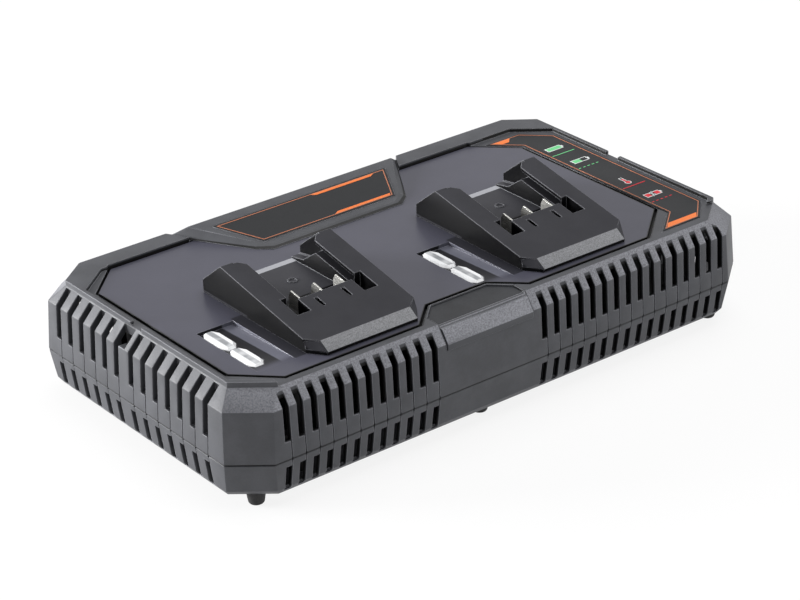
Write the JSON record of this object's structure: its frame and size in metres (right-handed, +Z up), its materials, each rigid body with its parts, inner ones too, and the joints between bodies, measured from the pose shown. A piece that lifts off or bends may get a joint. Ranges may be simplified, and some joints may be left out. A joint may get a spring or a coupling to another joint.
{
  "type": "power tool battery charger",
  "caption": "Dual-bay slide-pack battery charger: vented charcoal casing with sloped battery docks, light pipes, status legend and a rear mains inlet.",
  "frame": {"origin": "on the ground under the middle of the casing, at the feet's resting face", "axes": "+X along the long side, to the right of a user in front; +Y to the rear, where the mains inlet is; +Z up"},
  "size_m": [0.3, 0.1676, 0.0755],
  "materials": {
    "casing_plastic": "fine texture",
    "deck_plastic": "smooth satin",
    "dock_plastic": "satin",
    "black_plastic": "satin",
    "badge_plastic": "coarse texture",
    "contact_metal": "plated",
    "screw_steel": "zinc plated",
    "clear_plastic": "frosted clear",
    "label_film": "printed film with orange borders",
    "foot_rubber": "matte",
    "board_laminate": "solder mask",
    "led_epoxy": "clear tinted",
    "ferrite": "ground",
    "winding_tape": "taped",
    "fuse_glass": "clear",
    "capacitor_sleeve": "shrink sleeve",
    "sink_aluminium": "extruded",
    "lead_sleeve": "insulated wire",
    "fan_plastic": "satin"
  },
  "bodies": {
    "charger": {"lower_housing": "casing_plastic", "upper_housing": "casing_plastic", "deck_plate": "deck_plastic", "left_dock": "dock_plastic", "right_dock": "dock_plastic", "left_terminal_block": "black_plastic", "right_terminal_block": "black_plastic", "left_terminals": "contact_metal", "right_terminals": "contact_metal", "left_terminal_leads": "lead_sleeve", "right_terminal_leads": "lead_sleeve", "dock_screws": "screw_steel", "left_front_light_pipe": "clear_plastic", "left_rear_light_pipe": "clear_plastic", "right_front_light_pipe": "clear_plastic", "right_rear_light_pipe": "clear_plastic", "left_indicator_board": "board_laminate", "right_indicator_board": "board_laminate", "indicator_leds": "led_epoxy", "indicator_screws": "screw_steel", "rear_bezel": "casing_plastic", "nameplate": "label_film", "status_label": "label_film", "front_badge": "badge_plastic", "feet": "foot_rubber", "housing_screws": "screw_steel", "main_board": "board_laminate", "board_screws": "screw_steel", "transformer_cores": "ferrite", "transformer_windings": "winding_tape", "mains_choke": "ferrite", "fuse": "fuse_glass", "bulk_capacitors": "capacitor_sleeve", "output_capacitors": "capacitor_sleeve", "heatsinks": "sink_aluminium", "power_transistors": "black_plastic", "bridge_rectifier": "black_plastic", "control_chips": "black_plastic", "mains_inlet": "black_plastic", "inlet_pins": "contact_metal", "inlet_leads": "lead_sleeve", "fan_frame": "black_plastic"},
    "rotor": {"fan_rotor": "fan_plastic"}
  },
  "joints": [
    {"name": "fan_spin", "type": "hinge", "parent": "charger", "child": "rotor", "pos_m": [-0.134, 0, 0.0295], "axis": [1, 0, 0], "continuous": true}
  ]
}
